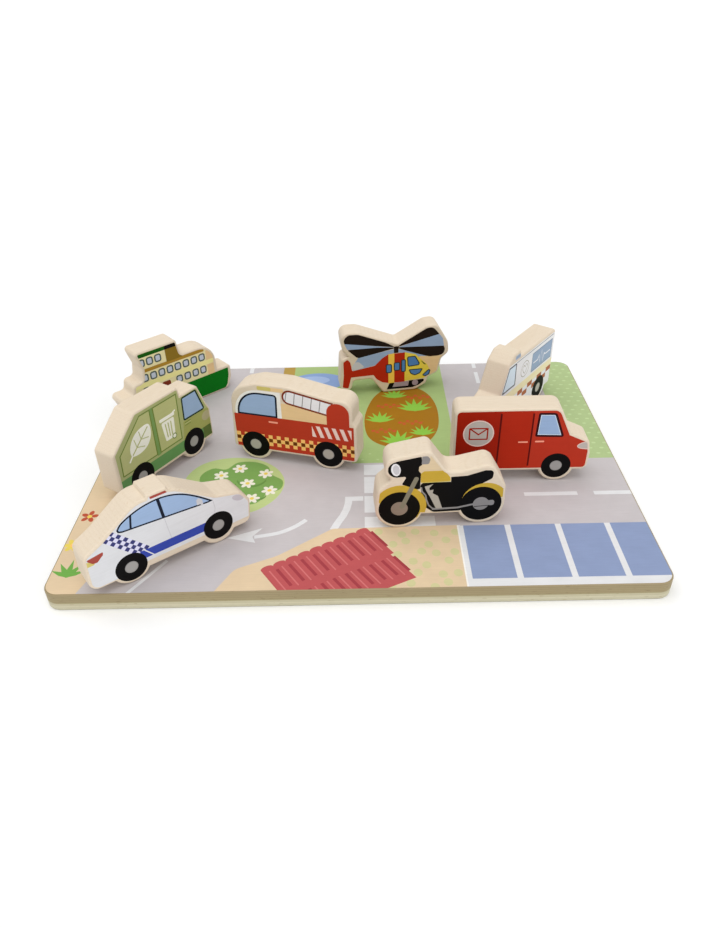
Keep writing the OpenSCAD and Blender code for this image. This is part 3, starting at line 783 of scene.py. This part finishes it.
def partition(clip, layers):
    """Splits the region inside clip into triangles that each lie under one ink.

    Gives the flat points, the triangles, the number of each one's ink and the inks' names.
    """
    rings = [clip] + [shape for _, shape in layers]
    points, edges = [], []
    for ring in rings:
        first, count = len(points), len(ring)
        points += [Vector(p) for p in ring]
        edges += [(first + k, first + (k + 1) % count) for k in range(count)]
    verts, _, faces, *_ = delaunay_2d_cdt(points, edges, [], 0, MERGE)
    flat = np.array([tuple(v) for v in verts])
    tris = np.array([tuple(f) for f in faces])
    corners = flat[tris]
    one, two = corners[:, 1] - corners[:, 0], corners[:, 2] - corners[:, 0]
    double = one[:, 0] * two[:, 1] - one[:, 1] * two[:, 0]
    tris[double < 0] = tris[double < 0][:, ::-1]
    middle = corners.mean(1)

    def inside(ring):
        a = np.array(ring)
        b = np.roll(a, -1, 0)
        hit = np.zeros(len(middle), bool)
        for (ax, ay), (bx, by) in zip(a, b):
            if ay != by:
                cross = (ay > middle[:, 1]) != (by > middle[:, 1])
                hit ^= cross & (middle[:, 0] < (bx - ax) * (middle[:, 1] - ay) / (by - ay) + ax)
        return hit

    inks = np.full(len(tris), -1)
    names = sorted({ink for ink, _ in layers})
    for ink, shape in layers:
        inks[inside(shape)] = names.index(ink)
    keep = inside(clip) & (inks >= 0) & (np.abs(double) > SLIVER)
    return flat, tris[keep], inks[keep], names


def layer(flat, tris, inks, low, high, place):
    """A closed thin layer: place turns flat points and a level into points in space."""
    used, tris = np.unique(tris, return_inverse=True)
    flat, n = flat[used], len(used)
    faces = [tuple(tri) for tri in tris.reshape(-1, 3).tolist()]
    slots = inks.tolist() * 2
    owner = {}
    for tri, slot in zip(faces, slots):
        for edge in zip(tri, tri[1:] + tri[:1]):
            owner[edge] = slot
    faces += [tuple(v + n for v in tri[::-1]) for tri in faces]
    for (a, b), slot in owner.items():
        if (b, a) not in owner:
            faces.append((b, a, a + n, b + n))
            slots.append(slot)
    verts = np.vstack([place(flat, high), place(flat, low)])
    return verts, faces, slots


def new_piece(name, verts, faces, materials, slots=None, place=None):
    """A mesh object; place holds the points that its materials take their pattern from."""
    mesh = bpy.data.meshes.new(name)
    mesh.from_pydata([tuple(v) for v in verts], [], faces)
    for material in materials:
        mesh.materials.append(material)
    if slots is not None:
        mesh.polygons.foreach_set("material_index", slots)
    if place is not None:
        data = mesh.attributes.new("place", "FLOAT_VECTOR", "POINT").data
        data.foreach_set("vector", np.asarray(place, np.float32).ravel())
    mesh.update()
    piece = bpy.data.objects.new(name, mesh)
    bpy.context.scene.collection.objects.link(piece)
    return piece


# The blocks

class Block:
    """A vehicle block of the frame, seen in its own straight directions."""

    def __init__(self, cad_node, degrees, right, up, number):
        self.name = cad_node
        angle = math.radians(degrees)
        self.turn = np.array([[math.cos(angle), -math.sin(angle), 0],
                              [math.sin(angle), math.cos(angle), 0], [0, 0, 1]])
        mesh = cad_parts[cad_node].data
        co = np.array([v.co for v in mesh.vertices]) @ self.turn
        self.low, self.high = co.min(0), co.max(0)
        self.zero, self.base = self.low[0] + right * MM, BOARD_TOP + up * MM
        self.shift = np.array([0.37, 0.11, 0.23]) * number  # another stretch of grain for each
        self.face = self.face_outline(mesh, co)

    def face_outline(self, mesh, co):
        """The outline of the flat front face, anticlockwise, in millimetres."""
        front = co[:, 1] < self.low[1] + NEAR
        micrometres = 1e6
        ids, points, keys = {}, [], []
        for p in co:
            key = (round(p[0] * micrometres), round(p[2] * micrometres))
            if key not in ids:
                ids[key] = len(points)
                points.append(((p[0] - self.zero) / MM, (p[2] - self.base) / MM))
            keys.append(ids[key])
        edges = set()
        for polygon in mesh.polygons:
            if all(front[v] for v in polygon.vertices):
                ring = [keys[v] for v in polygon.vertices]
                edges |= set(zip(ring, ring[1:] + ring[:1]))
        after = {a: b for a, b in edges if (b, a) not in edges}
        start = min(after)
        loop, here = [start], after[start]
        while here != start:
            loop.append(here)
            here = after[here]
        outline = [points[k] for k in loop]
        return outline if area(outline) > 0 else outline[::-1]

    def local(self, flat, depth):
        """Points of the block's own directions, in metres."""
        flat = np.asarray(flat)
        return np.stack([self.zero + flat[:, 0] * MM, np.full(len(flat), depth),
                         self.base + flat[:, 1] * MM], 1)

    def world(self, local):
        """The same points in the frame's directions."""
        return np.asarray(local) @ self.turn.T

    def grain(self, local):
        """Where the points lie in the plank that the block is cut from."""
        middle = (self.low + self.high) / 2
        return np.asarray(local) - [middle[0], middle[1], BOARD_TOP] + self.shift

    def wood(self, material):
        """The block itself, its two edges rounded over in fine steps."""
        thick = self.high[1] - self.low[1]
        edge = EDGE * MM
        steps = 6
        quarter = [math.radians(90 * k / steps) for k in range(steps + 1)]
        near = [(EDGE * math.sin(a), PRINT + edge * (1 - math.cos(a))) for a in quarter]
        far = [(reach, thick - depth) for reach, depth in near[::-1]]
        local = [self.local(grown(self.face, reach), self.low[1] + depth)
                 for reach, depth in near + far]
        n, rings = len(self.face), len(local)
        faces = [tuple(range(n)), tuple(range(rings * n - 1, (rings - 1) * n - 1, -1))]
        for r in range(rings - 1):
            for k in range(n):
                j = (k + 1) % n
                faces.append((r * n + k, (r + 1) * n + k, (r + 1) * n + j, r * n + j))
        local = np.vstack(local)
        piece = new_piece(self.name + "_wood", self.world(local), faces, [material],
                          place=self.grain(local))
        piece.data.shade_smooth()
        piece.data.set_sharp_from_angle(angle=math.radians(34))
        piece.modifiers.new("Even shading", "WEIGHTED_NORMAL").keep_sharp = True
        return piece

    def print_face(self, art, back):
        """The print on the block's front, or the same print on its back."""
        clip = grown(self.face, -PRINT_INSET)
        flat, tris, inks, names = partition(clip, art.layers)
        if back:
            skin, deep = self.high[1], self.high[1] - PRINT - KEYED
            tris = tris[:, ::-1]
        else:
            skin, deep = self.low[1], self.low[1] + PRINT + KEYED
        local, faces, slots = layer(flat, tris, inks, deep, skin, self.local)
        side = "_print_back" if back else "_print_front"
        return new_piece(self.name + side, self.world(local), faces,
                         [ink_material(name) for name in names], slots, self.grain(local))


block_wood = wood_material("block_wood", (0.89, 0.833, 0.752), (0.88, 0.82, 0.733),
                           (0.845, 0.755, 0.635))
for number, (cad_node, draw, degrees, right, up) in enumerate(VEHICLES, 1):
    block = Block(cad_node, degrees, right, up, number)
    wood = block.wood(block_wood)
    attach(wood, cad_node + "_block")
    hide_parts(cad_node)
    art = Art()
    draw(art)
    for back in (False, True):
        piece = block.print_face(art, back)
        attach(piece, cad_node + "_block")


# The board

def restyle(cad_node, material):
    """Gives a CAD node that stays another material."""
    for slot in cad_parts[cad_node].material_slots:
        slot.material = material


low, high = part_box("play_panel")
restyle("play_panel", wood_material(
    "panel_board", (0.645, 0.59, 0.455), (0.59, 0.535, 0.39), (0.48, 0.42, 0.29), False,
    (low.z, high.z, [(0.0, (0.96, 0.96, 0.92)), (0.12, (1.0, 1.0, 1.0)),
                     (0.80, (0.97, 0.96, 0.96)), (1.0, (0.90, 0.88, 0.90))])))
tray_low, tray_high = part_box("tray_layer")
restyle("tray_layer", wood_material(
    "tray_ply", (0.81, 0.79, 0.695), (0.76, 0.735, 0.63), (0.64, 0.58, 0.445), False,
    (tray_low.z, tray_high.z, [(0.0, (0.86, 0.88, 0.84)), (0.30, (0.97, 0.97, 0.95)),
                               (0.36, (1.02, 1.02, 1.0)), (0.64, (1.02, 1.02, 1.0)),
                               (0.70, (0.93, 0.92, 0.86)), (1.0, (0.88, 0.87, 0.78))])))

clip = box(low.x / MM + RIM, low.y / MM + RIM, high.x / MM - RIM, high.y / MM - RIM,
           CORNER - RIM)
art = Art()
play_scene(art)
flat, tris, inks, names = partition(clip, art.layers)


def on_board(points, level):
    return np.column_stack([points * MM, np.full(len(points), level)])


verts, faces, slots = layer(flat, tris, inks, BOARD_TOP - KEYED, BOARD_TOP + SCENE_PRINT, on_board)
scene_print = new_piece("play_scene_print", verts, faces, [ink_material(name) for name in names],
                        slots, verts)
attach(scene_print, "board")


# The floor, the light and the camera

def floor_material():
    material, tree, shader = new_material("studio_floor")
    place = coordinates(tree, False)
    cloud = noise(tree, place, (9, 9, 9), 2.0)
    tone = ramp(tree, cloud, [(0.3, (0.965, 0.975, 0.99)), (0.7, (0.97, 0.98, 0.995))])
    surface(tree, shader, tone, 0.9, 0.2)
    return material


reach = 30.0        # metres from the middle to each side
floor = new_piece("floor", [(-reach, -reach, 0), (reach, -reach, 0), (reach, reach, 0),
                            (-reach, reach, 0)], [(0, 1, 2, 3)], [floor_material()])


def sunlight(name, energy, degrees, direction):
    """A light far away in the given direction, so many degrees wide."""
    sun = bpy.data.objects.new(name, bpy.data.lights.new(name, "SUN"))
    sun.data.energy = energy
    sun.data.angle = math.radians(degrees)
    sun.data.color = (1.0, 0.985, 0.96)
    sun.rotation_euler = Vector(direction).to_track_quat("Z", "Y").to_euler()
    bpy.context.scene.collection.objects.link(sun)


sunlight("key", 1.47, 64, (-0.24, 0.06, 0.97))
sunlight("front", 1.2, 80, (0.34, -0.68, 0.64))

world = bpy.data.worlds.new("studio")
world.use_nodes = True
bpy.context.scene.world = world
tree = world.node_tree
sky = tree.nodes["Background"]
sky.inputs["Color"].default_value = (0.985, 0.99, 1.0, 1.0)
sky.inputs["Strength"].default_value = 0.39
# The camera, and what gloss and glass show, sees white in place of the sky that gives light
white = node(tree, "Background", Color=(1, 1, 1, 1), Strength=1.0)
path = node(tree, "LightPath")
seen = maths(tree, "ADD", path.outputs["Is Camera Ray"], path.outputs["Is Glossy Ray"])
seen = maths(tree, "ADD", seen, path.outputs["Is Transmission Ray"])
choice = node(tree, "MixShader")
for socket, value in zip(choice.inputs, (seen, sky.outputs[0], white.outputs[0])):
    feed(tree, socket, value)
tree.links.new(choice.outputs[0], tree.nodes["World Output"].inputs["Surface"])

# The camera's lens, place and angles are fitted to the board's corners in the photograph
camera = bpy.data.objects.new("camera", bpy.data.cameras.new("camera"))
camera.data.lens = 28.405
camera.data.sensor_width = 36.0
camera.data.clip_start = 0.01
camera.matrix_world = (Matrix.Translation((0.00508, -0.35881, 0.25578))
                       @ Matrix.Rotation(math.radians(0.578), 4, "Z")
                       @ Matrix.Rotation(math.radians(54.81), 4, "X")
                       @ Matrix.Rotation(math.radians(-1.51), 4, "Z"))
bpy.context.scene.collection.objects.link(camera)
bpy.context.scene.camera = camera
bpy.context.scene.view_settings.view_transform = "Standard"
